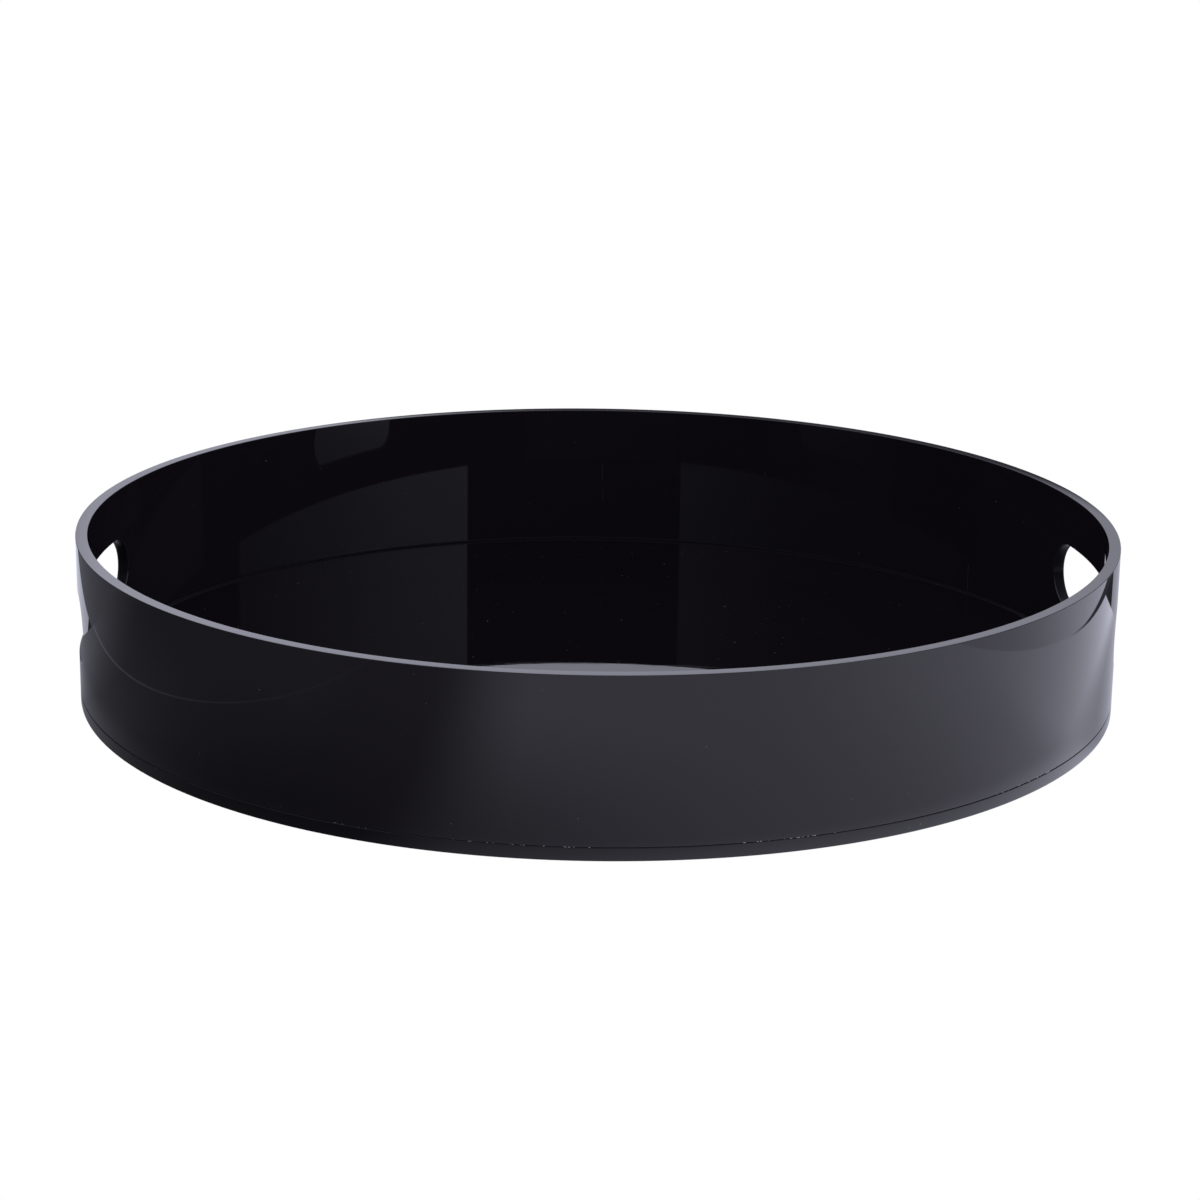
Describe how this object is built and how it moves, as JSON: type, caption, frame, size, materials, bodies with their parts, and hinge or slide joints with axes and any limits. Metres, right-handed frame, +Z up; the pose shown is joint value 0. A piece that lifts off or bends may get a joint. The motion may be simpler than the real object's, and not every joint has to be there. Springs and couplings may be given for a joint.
{
  "type": "round serving tray",
  "caption": "Round gloss acrylic serving tray with a flat floor, an upright wall and an obround hand slot on each side.",
  "frame": {"origin": "centre of the tray on the plane that its feet stand on", "axes": "+Z up along the tray's axis, +X through the middle of one hand slot, -X through the other"},
  "size_m": [0.4, 0.4, 0.0669],
  "materials": {
    "black_acrylic": "polished",
    "acrylic_cement": "set clear cement with small bubbles",
    "foot_rubber": "matt"
  },
  "bodies": {
    "root": {"base_disc": "black_acrylic", "wall_ring": "black_acrylic", "bond_film": "acrylic_cement", "foot_right_back": "foot_rubber", "foot_left_back": "foot_rubber", "foot_left_front": "foot_rubber", "foot_right_front": "foot_rubber"}
  },
  "joints": []
}
